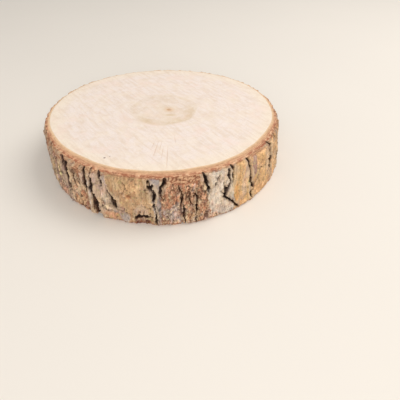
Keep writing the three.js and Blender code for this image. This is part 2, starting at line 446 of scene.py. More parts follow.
def crack_field(cracks, degrees, height, breadth):
    """How deep the cracks are as a share of the bark, how near a lip is, and how far painted shadow darkens
    it inside.
    """
    depth, lip, dark = np.zeros((3, *degrees.shape))
    for strength, points in cracks:
        for (a0, h0, w0), (a1, h1, w1) in zip(points, points[1:]):
            along = arc(turned(degrees, a0))
            run, fall = arc(a1 - a0), h1 - h0
            t = np.clip((along * run + (height - h0) * fall) / (run * run + fall * fall + 1e-9), 0, 1)
            gap = np.hypot(along - t * run, height - h0 - t * fall) / ((w0 + (w1 - w0) * t) * breadth)
            depth = np.maximum(depth, strength * (1 - smooth_step(0.4, 1.1, gap)))
            lip = np.maximum(lip, strength * smooth_step(0.9, 1.4, gap) * (1 - smooth_step(1.4, 4.0, gap)))
            dark = np.maximum(dark, smooth_step(0.3, 0.6, strength) * (1 - smooth_step(0.4, 1.2, gap)))
    return depth, lip, dark


def plate_table(trunk, bark, colours):
    """Where every plate begins at the upper and the lower cut, and its colour and scaliness."""
    draw = np.random.default_rng(PLATE_SEED)
    plates = [plate for plate in FRONT_PLATES if plate[2]]
    starts = [angles[[-1, 0]] for angles, _ in back_furrows(trunk, bark)]
    for top, low in [(FRONT_PLATES[-1][0],) * 2] + starts:
        plates.append((top, low, draw.choice(BACK_COLOURS), draw.uniform(0.3, 1.0)))
    plates = [(top % 360, top % 360 + low - top, name, scaly) for top, low, name, scaly in plates]
    plates.sort()
    styles = np.array([(*getattr(colours, str(name)), scaly) for _, _, name, scaly in plates])
    return [p[:2] for p in plates], styles


def plate_at(starts, degrees, z):
    """The number of the plate at each point."""
    plate = np.full(degrees.shape, len(starts) - 1)
    for i, (top, low) in enumerate(starts):
        begins = low + (top - low) * z / THICKNESS
        plate[degrees % 360 >= begins] = i
    return plate


def paint_patches(tone, scaly, degrees, z, wobble, colours):
    """Lays each patch over the plates' colours and their scaliness, with an uneven edge."""
    for angle, height, wide, tall, name, strength, *rough in PATCHES:
        across = arc(turned(degrees, angle))
        distance = np.hypot(across / wide, (z / MM - height) / tall)
        share = strength * (1 - smooth_step(0.75, 1.15, distance + 0.4 * wobble))
        tone += (np.array(getattr(colours, name)) - tone) * share[..., None]
        if rough:
            scaly += (rough[0] - scaly) * share


# ---- the slice's points and faces


class Grid:
    """Loops of points: out over the underside from its middle, up the bark and in over the top."""

    def __init__(self, shape, colours, trunk):
        self.degrees = np.arange(COLUMNS) * 360 / COLUMNS
        self.outward = directions(self.degrees)
        side = self.bark_side(shape, colours, trunk)
        bottom, top = (self.sawn_face(shape, trunk, side, row) for row in (0, -1))
        self.loops = bottom + side + top[::-1]
        self.face_loops = len(bottom)

    def bark_side(self, shape, colours, trunk):
        z = np.linspace(LOW.z, HIGH.z, SIDE_ROWS)[:, None] * np.ones(COLUMNS)
        degrees = self.degrees * np.ones((SIDE_ROWS, 1))
        bark = bark_thickness(shape, degrees)
        rough = self.outward * HIGH.x + z[..., None] * (0, 0, 1)
        plates = trunk.read(trunk.plate_tops, degrees, np.maximum(z, LOWER_WEAR))
        ragged = 0.55 * speckle(rough, 2.2 * MM) + 0.4 * speckle(rough, 0.9 * MM, 9)
        frayed = speckle(rough * (1, 1, 0.22), 0.75 * MM, 33)
        jagged = speckle(rough * (1, 1, 0.7), 0.55 * MM, 44)
        swayed = degrees + 0.8 * ragged + 0.4 * frayed + 0.55 * jagged
        lifted = z / MM + 0.5 * speckle(rough, 1.6 * MM, 21) + 0.3 * jagged
        breadth = 1 + 0.6 * speckle(rough, 1.8 * MM, 41) + 0.45 * frayed
        table_bark = bark_thickness(shape, np.arange(0, 360, TABLE_STEP))
        cracks = [*FRONT_CRACKS, *back_cracks(trunk, table_bark), *small_cracks()]
        furrow, lip, dark = crack_field(cracks, swayed, lifted, breadth)
        below_top = HIGH.z - z + 0.7 * MM * ragged
        furrow *= 0.2 + 0.8 * smooth_step(0.1 * MM, 1.6 * MM, below_top)

        # Inner bark laid bare: torn along both cuts, and where the chip has come away.
        reach = np.interp(degrees, *zip(*BAST_REACH), period=360) * MM
        torn = 1.3 * ragged + 0.5 * speckle(rough, 0.6 * MM, 52)
        bast = 1 - smooth_step(0.75, 1.0, (HIGH.z - z) / reach + 0.45 * torn)
        low_bast = 1 - smooth_step(0.6, 1.0, (z - LOW.z) / (LOWER_BAST * MM) + 0.5 * torn)
        bast = np.maximum(bast, low_bast)
        chip = trunk.read(trunk.plate_tops - trunk.radii, degrees, np.clip(z, 0, 3 * MM)) / bark
        near_chip = (np.abs(degrees - CHIP_AT) < CHIP_REACH) & (z < CHIP_TOP)
        hollow = smooth_step(0.04, 0.16, np.where(near_chip, chip + 0.12 * torn, 0))
        sunk = np.maximum(furrow, 0.2 * hollow * smooth_step(0.1 * MM, 0.8 * MM, z))

        swell = 0.3 * MM * speckle(rough, 5 * MM, 81)
        radius = plates + swell - bark * FURROW_REACH * (sunk + 0.12 * bast - 0.12 * lip)
        starts, styles = plate_table(trunk, table_bark, colours)
        style = styles[plate_at(starts, degrees + ragged * 1.2, z)]
        tone, scaly = style[..., :3].copy(), style[..., 3].copy()
        wobble = speckle(rough, 2.2 * MM, 50) + 0.6 * speckle(rough, 0.8 * MM, 60)
        paint_patches(tone, scaly, degrees, z, wobble, colours)
        # The chip's hollow takes the cavity colour: the bark's own dark red, darkened by painted shade from
        # the plate that overhangs it.
        tone += (np.array(colours.cavity) - tone) * hollow[..., None]
        bast *= 1 - hollow
        to_cut = np.minimum(z - LOW.z, HIGH.z - z)
        home = trunk.axis + self.outward * plates[..., None] + z[..., None] * (0, 0, 1)
        point = trunk.axis + self.outward * radius[..., None] + z[..., None] * (0, 0, 1)
        crumble = (1 - smooth_step(0, 1.8 * MM, to_cut)) * np.where(z < THICKNESS / 2, 0.5, 1)
        one = np.ones_like(z)
        table = dict(
            point=point, home=home, share=one, crumble=crumble, scaliness=scaly, furrow=furrow, lip=lip,
            dark=dark, bast=bast, tone=tone, rim=one, past_wood=bark, ring=one, check=0 * one,
        )
        return [{name: rows[i] for name, rows in table.items()} for i in range(SIDE_ROWS)]

    def sawn_face(self, shape, trunk, side, row):
        """Loops of one sawn face, from the pith out to just short of the bark's edge."""
        edge = side[row]
        z = edge["point"][:, 2]
        upright = np.array((0, 0, 1.0))
        plates = trunk.read(trunk.plate_tops, self.degrees, np.full(COLUMNS, THICKNESS / 2))
        near_cut = np.clip(z, LEAN_CLEARANCE, THICKNESS - LEAN_CLEARANCE)
        lean = trunk.read(trunk.plate_tops, self.degrees, near_cut) - plates
        wood = plates + lean - bark_thickness(shape, self.degrees) * (1 + MEAN_CROWN)
        rough = self.outward * HIGH.x
        wood += 0.16 * MM * speckle(rough, 6 * MM, 70) + 0.05 * MM * speckle(rough, 1.5 * MM, 71)
        outline = trunk.axis + self.outward * wood[:, None] + z[:, None] * upright
        pith = trunk.axis + np.array((*shape.pith, 0)) + z[:, None] * upright
        from_pith = outline - pith
        around = np.degrees(np.arctan2(from_pith[:, 1], from_pith[:, 0])) % 360
        loops = []
        for s in WOOD_SHARES:
            point = pith + from_pith * s
            check = np.zeros(COLUMNS)
            if row == -1:
                reach = np.hypot(*(point - pith)[:, :2].T)
                for angle, start, end in CHECKS:
                    column = np.argmin(np.abs(around - angle))
                    if start <= reach[column] <= end:
                        check[column] = 1
            loops.append(self.face_loop(edge, point, check=check, ring=np.full(COLUMNS, s)))
        for t in np.linspace(0, 1, RIM_LOOPS + 2)[1:-1]:
            point = outline + (edge["point"] - outline) * t
            part = np.full(COLUMNS, t)
            past_wood = np.hypot(*(point - outline)[:, :2].T)
            crumble = edge["crumble"] * t**3
            loops.append(
                self.face_loop(edge, point, share=part, rim=part, crumble=crumble, past_wood=past_wood)
            )
        return loops

    def face_loop(self, edge, point, **values):
        """A loop of a sawn face, with what the bark's edge has in each column but for the values given."""
        flat = dict.fromkeys(("share", "crumble", "rim", "past_wood", "check"), np.zeros(COLUMNS))
        return {**edge, **flat, "point": point, **values}

    def stacked(self, name):
        """One value for every vertex, the two poles included."""
        rows = np.array([loop[name] for loop in self.loops])
        ends = (0.0, 0.0) if name == "ring" else (rows[0].mean(axis=0), rows[-1].mean(axis=0))
        flat = rows.reshape(-1, *rows.shape[2:])
        return np.concatenate([[ends[0]], flat, [ends[1]]])

    def faces(self):
        """Quads between the loops and a fan at either pole."""
        count = len(self.loops)
        index = 1 + np.arange(count * COLUMNS).reshape(count, COLUMNS)
        ahead = np.roll(index, -1, axis=1)
        quads = np.stack([index[:-1], ahead[:-1], ahead[1:], index[1:]], axis=-1).reshape(-1, 4)
        last = count * COLUMNS + 1
        under = [(0, b, a) for a, b in zip(index[0], ahead[0])]
        over = [(last, a, b) for a, b in zip(index[-1], ahead[-1])]
        return quads.tolist() + under + over


def bake_map(mesh, face_region, face_column, axis):
    """Lays the sawn faces side by side in one half of the map, and the bark in strips in the other."""
    layer = mesh.uv_layers.new(name="OFBake")
    point = mesh_points(mesh)[read_all(mesh.loops, "vertex_index", np.int32)]
    sizes = read_all(mesh.polygons, "loop_total", np.int32)
    region = np.repeat(face_region, sizes)
    column = np.repeat(face_column, sizes)
    span = max(HIGH.x - LOW.x, HIGH.y - LOW.y) * MAP_ROOM
    disc = point[:, :2] / span * 0.5
    uv = np.where((region == UPPER)[:, None], disc + (0.25, 0.75), disc * (-1, 1) + (0.75, 0.75))

    # Each corner's angle stays near its face's own, so that no face crosses from one strip to another.
    degrees = np.degrees(np.arctan2(point[:, 1] - axis[1], point[:, 0] - axis[0])) - MAP_SEAM
    middle = (column + 0.5) * 360 / COLUMNS - MAP_SEAM
    strip = np.floor((middle % 360) / STRIP_ANGLE)
    along = middle % 360 + turned(degrees, middle)
    u = MAP_MARGIN + (1 - 2 * MAP_MARGIN) * (along - STRIP_ANGLE * strip) / STRIP_ANGLE
    v = MAP_MARGIN + strip * STRIP_PITCH + STRIP_HEIGHT * point[:, 2] / THICKNESS
    side = region == BARK
    uv[side] = np.stack([u, v], axis=-1)[side]
    layer.data.foreach_set("uv", uv.astype(np.float32).ravel())


def store(mesh, name, values):
    """One value for every vertex, as an attribute of the mesh."""
    kind, field = ("FLOAT", "value") if values.ndim == 1 else ("FLOAT_VECTOR", "vector")
    if name == "tone":
        kind, field = "FLOAT_COLOR", "color"
        values = np.concatenate([values, np.ones((len(values), 1))], axis=1)
    layer = mesh.attributes.new(name, kind, "POINT")
    layer.data.foreach_set(field, values.astype(np.float32).ravel())


def slice_mesh(shape, colours):
    """The slice before its fine relief. Its vertices hold what the relief and the materials read."""
    trunk = Trunk(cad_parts[NODE])
    grid = Grid(shape, colours, trunk)
    mesh = bpy.data.meshes.new(NODE + "_grown")
    mesh.from_pydata(grid.stacked("point").tolist(), [], grid.faces())
    for name in grid.loops[0]:
        if name != "point":
            store(mesh, name, grid.stacked(name))
    pole = [(0, 0, 1.0)]
    store(mesh, "outward", np.concatenate([pole, np.tile(grid.outward, (len(grid.loops), 1)), pole]))
    bands = len(grid.loops) - 1
    band = np.concatenate([np.repeat(np.arange(bands), COLUMNS), [0] * COLUMNS, [bands] * COLUMNS])
    column = np.tile(np.arange(COLUMNS), bands + 2)
    first_side, last_side = grid.face_loops, grid.face_loops + SIDE_ROWS - 1
    region = np.where(band < first_side, LOWER, np.where(band < last_side, BARK, UPPER))
    barked = mesh.attributes.new("barked", "BOOLEAN", "FACE")
    barked.data.foreach_set("value", region == BARK)
    bake_map(mesh, region, column, trunk.axis)
    mesh.shade_smooth()
    return mesh, trunk


# ---- node trees


class Tree:
    """Adds nodes to a shader or geometry tree and returns their outputs."""

    def __init__(self, tree):
        self.tree = tree

    def node(self, kind, inputs=None, **settings):
        made = self.tree.nodes.new(kind)
        for name, value in settings.items():
            setattr(made, name, value)
        for name, value in (inputs or {}).items():
            self.feed(made.inputs[name], value)
        return made

    def feed(self, socket, value):
        if isinstance(value, bpy.types.NodeSocket):
            self.tree.links.new(value, socket)
        elif socket.type == "RGBA":
            socket.default_value = (*value, 1)
        elif value is not None:
            socket.default_value = value

    def maths(self, operation, a, b=None, c=None):
        return self.node("ShaderNodeMath", {0: a, 1: b, 2: c}, operation=operation).outputs[0]

    def times(self, product, *factors):
        for factor in factors:
            product = self.maths("MULTIPLY", product, factor)
        return product

    def plus(self, a, b):
        return self.maths("ADD", a, b)

    def less(self, a, b):
        return self.maths("SUBTRACT", a, b)

    def times_plus(self, a, b, c):
        """a times b, plus c."""
        return self.maths("MULTIPLY_ADD", a, b, c)

    def off_half(self, value):
        """How far value is from a half, either way."""
        return self.maths("ABSOLUTE", self.less(value, 0.5))

    def vector(self, operation, a, b=None, output=0):
        return self.node("ShaderNodeVectorMath", {0: a, 1: b}, operation=operation).outputs[output]

    def length(self, vector):
        return self.vector("LENGTH", vector, output=1)

    def dot(self, a, b):
        return self.vector("DOT_PRODUCT", a, b, output=1)

    def scaled(self, vector, factor):
        inputs = {0: vector, "Scale": factor}
        return self.node("ShaderNodeVectorMath", inputs, operation="SCALE").outputs[0]

    def cells(self, place, wide, tall):
        """place in cells of a width and a height in millimetres, so that noise has lumps of that size."""
        return self.vector("MULTIPLY", place, (1 / (wide * MM), 1 / (wide * MM), 1 / (tall * MM)))

    def xyz(self, x=0.0, y=0.0, z=0.0):
        return self.node("ShaderNodeCombineXYZ", {0: x, 1: y, 2: z}).outputs[0]

    def parts(self, vector):
        return self.node("ShaderNodeSeparateXYZ", {0: vector}).outputs

    def noise(self, vector, scale, detail=2.0, roughness=0.5, distortion=0.0, output=0):
        grain = {"Scale": scale, "Detail": detail, "Roughness": roughness, "Distortion": distortion}
        return self.node("ShaderNodeTexNoise", {"Vector": vector, **grain}).outputs[output]

    def line_noise(self, value, scale, detail):
        """Noise along one number."""
        inputs = {"W": value, "Scale": scale, "Detail": detail}
        return self.node("ShaderNodeTexNoise", inputs, noise_dimensions="1D").outputs[0]

    def voronoi(self, vector, feature="F1"):
        return self.node("ShaderNodeTexVoronoi", {"Vector": vector, "Scale": 1.0}, feature=feature).outputs

    def ease(self, value, low, high, to_low=0.0, to_high=1.0):
        """value from low to high, carried smoothly to to_low to to_high."""
        inputs = {"Value": value, 1: low, 2: high, 3: to_low, 4: to_high}
        return self.node("ShaderNodeMapRange", inputs, interpolation_type="SMOOTHSTEP").outputs[0]

    def over(self, base, colour, *shares):
        """base with a colour laid over it, as far as all the shares multiplied together say."""
        inputs = {0: self.times(*shares), 6: base, 7: colour}
        return self.node("ShaderNodeMix", inputs, data_type="RGBA", clamp_factor=True).outputs[2]

    def drifts(self, base, rows, *shares):
        """base with patches over it, each given by its space, its noise, the noise's cut and its colour."""
        for space, grain, cut, colour in rows:
            base = self.over(base, colour, self.ease(self.noise(space, *grain), *cut), *shares)
        return base

    def tint(self, colour, amount, dark=0.0, light=2.0):
        """colour made darker or lighter by amount, which is 0.5 for no change."""
        inputs = {"Value": amount, 1: 0.0, 2: 1.0, 3: dark, 4: light}
        return self.scaled(colour, self.node("ShaderNodeMapRange", inputs).outputs[0])

    def field(self, name, kind="FLOAT"):
        """A value stored on the mesh, in a geometry tree."""
        return self.node("GeometryNodeInputNamedAttribute", {"Name": name}, data_type=kind).outputs[0]

    def stored(self, name, output="Fac"):
        """A value stored on the mesh, in a material."""
        return self.node("ShaderNodeAttribute", attribute_name=name).outputs[output]


# ---- relief


LENGTH_INPUTS = (
    "scale_width", "scale_height", "scale_relief", "crack_depth", "fibre_relief", "grain_relief", "crumble",
)
SEED_STEP = (0.131, 0.057, 0.083)  # how far a step of the seed moves every pattern
FLAKE_LEVELS = 9.0  # layers of bark that flake back one behind another
CHECK_DEPTH = 0.15 * MM


def relief_inputs(shape):
    """The relief's named inputs: the name, the kind of socket and the value."""
    named = [(name.replace("_", " ").capitalize(), getattr(shape, name)) for name in LENGTH_INPUTS]
    lengths = [(label, "NodeSocketFloat", value) for label, value in named]
    return [*lengths, ("Seed", "NodeSocketInt", shape.seed)]


def geometry_tree(name, inputs):
    tree = bpy.data.node_groups.new(name, "GeometryNodeTree")
    tree.interface.new_socket("Geometry", in_out="INPUT", socket_type="NodeSocketGeometry")
    for label, kind, value in inputs:
        tree.interface.new_socket(label, in_out="INPUT", socket_type=kind).default_value = value
    tree.interface.new_socket("Geometry", in_out="OUTPUT", socket_type="NodeSocketGeometry")
    return tree


def keep(t, geometry, **fields):
    """The geometry with each field stored on its vertices under its own name."""
    for name, value in fields.items():
        inputs = {"Geometry": geometry, "Name": name, "Value": value}
        made = t.node("GeometryNodeStoreNamedAttribute", inputs, data_type="FLOAT", domain="POINT")
        geometry = made.outputs[0]
    return geometry


def scales(t, home, width, height):
    """Bark scales: how high each stands, where open cracks run between them, and its own chance."""
    narrow, tall = t.maths("DIVIDE", 1.0, width), t.maths("DIVIDE", 1.0, height)
    spread = t.vector("MULTIPLY", home, t.xyz(narrow, narrow, tall))
    half = (0.5, 0.5, 0.5)
    bent = t.vector("SUBTRACT", t.noise(spread, 1.4, 4.0, 0.6, output=1), half)
    warped = t.vector("ADD", spread, t.scaled(bent, 1.5))
    cell = t.voronoi(warped)
    edge = t.voronoi(warped, "DISTANCE_TO_EDGE")["Distance"]
    chance = t.parts(cell["Color"])
    from_middle = t.vector("SUBTRACT", warped, cell["Position"])
    lean = t.dot(from_middle, t.vector("SUBTRACT", cell["Color"], half))
    stand = t.plus(t.less(chance[0], 0.5), t.times(lean, 1.2))
    opened = t.ease(t.noise(home, 1 / (3 * MM), 2.0), 0.5, 0.62)
    crack = t.times(t.ease(edge, 0.0, 0.09, 1.0, 0.0), opened)
    return stand, crack, chance[1]


def flakes(t, home):
    """Flaked layers of bark: their height, a painted shadow under each edge and a painted highlight along
    it.
    """
    field = t.times(t.noise(t.cells(home, 3.2, 7), 1.0, 5.0, 0.62, 0.6), FLAKE_LEVELS)
    within = t.maths("FRACT", field)
    step = t.plus(t.maths("FLOOR", field), t.ease(within, 0.0, 0.2))
    height = t.less(t.maths("DIVIDE", step, FLAKE_LEVELS), 0.5)
    shadow = t.times(t.ease(within, 0.0, 0.04), t.ease(within, 0.1, 0.24, 1.0, 0.0))
    light = t.times(t.ease(within, 0.16, 0.26), t.ease(within, 0.3, 0.48, 1.0, 0.0))
    return height, shadow, light


def thin_cracks(t, home):
    """Wavy upright cracks, open in some places and closed in others."""
    line = t.off_half(t.noise(t.cells(home, 2.4, 8), 1.0, 4.0, 0.6, 0.4))
    opened = t.ease(t.noise(home, 1 / (2.6 * MM), 2.0), 0.46, 0.6)
    return t.times(t.ease(line, 0.0, 0.03, 1.0, 0.0), opened)


def relief_tree(shape, sawn, bark):
    """Raises scales, cracks, fibres and grain from the bark, and crumbles its sawn edges."""
    tree = geometry_tree("Bark relief", relief_inputs(shape))
    t = Tree(tree)
    given = tree.nodes.new("NodeGroupInput").outputs
    scaly = t.field("scaliness")
    home = t.vector("ADD", t.field("home", "FLOAT_VECTOR"), t.scaled(SEED_STEP, given["Seed"]))

    stand, crack, chance = scales(t, home, given["Scale width"], given["Scale height"])
    crack = t.maths("MAXIMUM", crack, thin_cracks(t, home))
    layer, shadow, light = flakes(t, home)
    fibres = t.off_half(t.noise(t.cells(home, 1.1, 7), 1.0, 3.0, 0.55))
    fibres = t.ease(fibres, 0.0, 0.16, -1.0, 0.35)
    grain = t.less(t.noise(home, 1 / (0.9 * MM), 3.0, 0.6), 0.5)

    high = t.times(t.times_plus(layer, 3.4, t.times(stand, 0.45)), given["Scale relief"])
    deep = t.times(crack, given["Crack depth"])
    rise = t.times_plus(fibres, given["Fibre relief"], t.times(t.less(high, deep), scaly))
    rise = t.times_plus(grain, t.times(given["Grain relief"], 2.0), rise)

    # Torn inner bark has wavy layers along the cut instead of scales.
    layers = t.less(t.noise(t.cells(home, 4, 0.9), 1.0, 3.0, 0.6, 0.8), 0.5)
    strips = t.times(layers, 1.3 * MM)
    rise = t.times_plus(t.less(strips, rise), t.times(t.field("bast"), 0.8), rise)
    on_plates = t.ease(t.field("furrow"), 0.1, 0.5, 1.0, 0.4)
    rise = t.times(rise, on_plates, t.field("share"))

    # The sawn edge has crumbled inwards, and away from its own cut.
    crumbled = t.ease(t.noise(home, 1 / (1.6 * MM), 3.0, 0.6), 0.35, 0.7)
    fall = t.times(crumbled, given["Crumble"], t.field("crumble"))
    height = t.parts(t.node("GeometryNodeInputPosition").outputs[0])[2]
    from_cut = t.times_plus(t.maths("GREATER_THAN", height, THICKNESS / 2), -2.0, 1.0)
    lift = t.times(from_cut, t.plus(fall, t.times(t.field("check"), CHECK_DEPTH)))
    outward = t.scaled(t.field("outward", "FLOAT_VECTOR"), t.plus(rise, t.times(fall, -0.9)))
    offset = t.vector("ADD", outward, t.xyz(z=lift))

    moved = t.node("GeometryNodeSetPosition", {"Geometry": given["Geometry"], "Offset": offset}).outputs[0]
    kept = keep(
        t,
        moved,
        crack=t.times(crack, scaly),
        flake_shadow=t.times(shadow, scaly),
        flake_light=t.times(light, scaly),
        flake_layer=layer,
        layers=layers,
        scale_chance=chance,
        rise=t.maths("DIVIDE", rise, 1 * MM),
    )
    whole = t.node("GeometryNodeRealizeInstances", {"Geometry": kept}).outputs[0]
    for choice in ({"Material": sawn}, {"Material": bark, "Selection": t.field("barked", "BOOLEAN")}):
        whole = t.node("GeometryNodeSetMaterial", {"Geometry": whole, **choice}).outputs[0]
    tree.links.new(whole, tree.nodes.new("NodeGroupOutput").inputs["Geometry"])
    return tree


def add_object(name, data):
    made = bpy.data.objects.new(name, data)
    bpy.context.scene.collection.objects.link(made)
    return made


def grow(name, mesh, tree, values):
    """A plain object with the tree's result as its mesh. The tree's inputs are set first."""
    source = bpy.data.objects.new(name + "_source", mesh)
    modifier = source.modifiers.new(tree.name, "NODES")
    modifier.node_group = tree
    sockets = {s.name: s.identifier for s in tree.interface.items_tree if s.in_out == "INPUT"}
    for label, _, value in values:
        modifier[sockets[label]] = value
    bpy.context.scene.collection.objects.link(source)
    evaluated = source.evaluated_get(bpy.context.evaluated_depsgraph_get())
    result = bpy.data.meshes.new_from_object(evaluated)
    bpy.data.objects.remove(source)
    if not result.polygons:
        raise RuntimeError(f"{tree.name} made no faces for {name}")
    return add_object(name, result)


# ---- materials


def new_material(name, roughness):
    """A material, its tree, its shader and the object coordinates."""
    material = bpy.data.materials.new(name)
    material.use_nodes = True
    t = Tree(material.node_tree)
    shader = material.node_tree.nodes["Principled BSDF"]
    shader.inputs["Roughness"].default_value = roughness
    shader.inputs["Specular IOR Level"].default_value = 0.25
    return material, t, shader, t.node("ShaderNodeTexCoord").outputs["Object"]


def set_surface(t, shader, colour, height, distance, strength):
    """Gives the shader its colour and its bumps."""
    t.feed(shader.inputs["Base Color"], colour)
    inputs = {"Height": height, "Distance": distance, "Strength": strength}
    t.feed(shader.inputs["Normal"], t.node("ShaderNodeBump", inputs).outputs[0])


def wood_colour(t, shape, colours, axis, place, wander):
    """Growth rings, the stain and the pith."""
    flat = t.vector("SUBTRACT", place, tuple(axis + np.array((*shape.pith, 0))))
    flat = t.vector("MULTIPLY", flat, (1, 1, 0))
    distance = t.length(flat)

    # A year widens and narrows by chance, and ends in a thin darker line.
    ring = t.times_plus(wander, 1.6 * MM, t.times(t.stored("ring"), HIGH.x))
    years = t.times_plus(t.line_noise(ring, 160.0, 1.0), 2.2, t.maths("DIVIDE", ring, 2.9 * MM))
    year = t.maths("FRACT", years)
    late = t.times(t.ease(year, 0.35, 0.93), t.ease(year, 0.95, 1.0, 1.0, 0.0))
    bands = t.ease(t.line_noise(ring, 900.0, 3.0), 0.45, 0.75)
    wood = t.over(colours.cream, colours.ring, late, 0.13)
    wood = t.over(wood, colours.ring, bands, 0.1)
    wood = t.over(wood, colours.outer_wood, t.ease(t.stored("ring"), 0.84, 0.985), 0.85)

    # A faint brown band round the pith, darkest on its lower right, pinkish inside.
    from_stain = t.vector("SUBTRACT", flat, (*shape.stain_shift, 0))
    uneven = t.less(t.noise(place, 150.0, 5.0, 0.65), 0.5)
    lumpy = t.times_plus(uneven, 6 * MM, t.length(from_stain))
    towards = t.dot(t.vector("NORMALIZE", from_stain), (0.35, -0.94, 0))
    band = t.times(
        t.ease(lumpy, 8.5 * MM, 12.6 * MM),
        t.ease(lumpy, 12.8 * MM, 14.4 * MM, 1.0, 0.0),
        t.ease(towards, -0.4, 1.0, 0.38, 0.95),
    )
    within = t.ease(lumpy, 8 * MM, 15 * MM, 0.34, 0.0)
    broken = t.ease(t.noise(place, 300.0, 4.0, 0.6), 0.34, 0.66, 0.4, 0.95)
    wood = t.over(wood, colours.stain, t.plus(band, within), broken)

    to_pith = t.times_plus(wander, 2 * MM, distance)
    wood = t.over(wood, colours.stain, t.ease(to_pith, 1.0 * MM, 4.5 * MM, 0.4, 0.0))
    wood = t.over(wood, colours.amber, t.ease(to_pith, 0.9 * MM, 2.6 * MM, 0.35, 0.0))
    below_pith = t.vector("MULTIPLY", t.vector("ADD", flat, (-0.8 * MM, 4.8 * MM, 0)), (0.3, 1, 1))
    wood = t.over(wood, colours.stain, t.ease(t.length(below_pith), 0.3 * MM, 1.1 * MM, 0.8, 0.0))
    heart = t.ease(t.times_plus(wander, 1 * MM, distance), 0.3 * MM, 1.2 * MM, 0.85, 0.0)
    return t.over(wood, colours.pith, heart)


def sawn_material(shape, colours, axis):
    """Sawn wood out to the cambium, and the bark's layers in section beyond it."""
    material, t, shader, place = new_material("sawn_wood", 0.62)
    wander = t.less(t.noise(place, 90.0, 2.0), 0.5)
    wood = wood_colour(t, shape, colours, axis, place, wander)

    # Marks of the saw run one way across the face, and pores speckle it.
    across, along = t.dot(place, (0.8, 0.6, 0)), t.dot(place, (0.6, -0.8, 0))
    marks = t.noise(t.xyz(t.times(across, 800.0), t.times(along, 110.0)), 1.0, 2.0, 0.6, 0.6)
    pores = t.noise(place, 2300.0, 2.0, 0.7)
    wood = t.over(wood, colours.ring, t.ease(marks, 0.4, 0.72, 0.0, 0.5))
    wood = t.tint(wood, t.ease(pores, 0.3, 0.7), 0.955, 1.035)
    patches = [
        (place, (300.0, 4.0, 0.65), (0.46, 0.7, 0.0, 0.42), colours.ring),
        (place, (120.0, 3.0, 0.6, 0.3), (0.5, 0.7, 0.0, 0.4), colours.blush),
        (place, (190.0, 3.0, 0.6), (0.42, 0.68, 0.0, 0.35), colours.outer_wood),
    ]
    wood = t.drifts(wood, patches)
    for x, y, radius in NICKS:
        to_nick = t.length(t.vector("SUBTRACT", place, (axis[0] + x, axis[1] + y, THICKNESS)))
        wood = t.over(wood, colours.furrow_wall, t.ease(to_nick, 0.5 * radius, 1.4 * radius, 0.8, 0.0))

    # Inner bark: fine wavy layers that follow the wood, paler inside and redder outside.
    outward, past, rim = t.stored("outward", "Vector"), t.stored("past_wood"), t.stored("rim")
    fine, coarse = (
        t.vector("ADD", t.scaled(outward, around), t.xyz(z=t.times(past, out)))
        for around, out in ((5.0, 1200.0), (30.0, 420.0))
    )
    layers = t.noise(fine, 1.0, 4.0, 0.6, 0.5)
    blotches = t.noise(coarse, 1.0, 3.0, 0.55)
    fine_line = t.ease(t.off_half(layers), 0.0, 0.06, 1.0, 0.0)
    bast = t.over(colours.inner_bark, colours.salmon, t.ease(rim, 0.3, 0.8), 0.7)
    bast = t.over(bast, colours.inner_lines, fine_line, t.ease(rim, 0.3, 0.75, 0.35, 0.95))
    bast = t.over(bast, colours.inner_lines, t.ease(rim, 0.6, 0.9), t.ease(blotches, 0.44, 0.58), 0.85)
    bast = t.over(bast, colours.cambium, t.ease(rim, 0.5, 0.8), t.ease(blotches, 0.5, 0.36), 0.45)
    edge = t.times_plus(wander, 0.5 * MM, past)
    bast = t.over(bast, colours.cambium, t.ease(edge, 0.1 * MM, 1.3 * MM, 0.9, 0.0))
    bast = t.tint(bast, t.ease(t.noise(place, 1100.0, 3.0, 0.6), 0.3, 0.7), 0.9, 1.1)
    surface = t.over(wood, bast, t.ease(past, 0.0, 0.28 * MM))
    # Painted shade inside the drying checks: they are darkened towards the pith's colour.
    surface = t.over(surface, colours.pith, t.stored("check"), 0.4)

    height = t.times_plus(marks, 0.25, t.times(pores, 0.12))
    height = t.times_plus(t.times(layers, t.ease(past, 0.0, 0.3 * MM)), -1.6, height)
    set_surface(t, shader, surface, height, 0.10 * MM, 0.8)
    return material


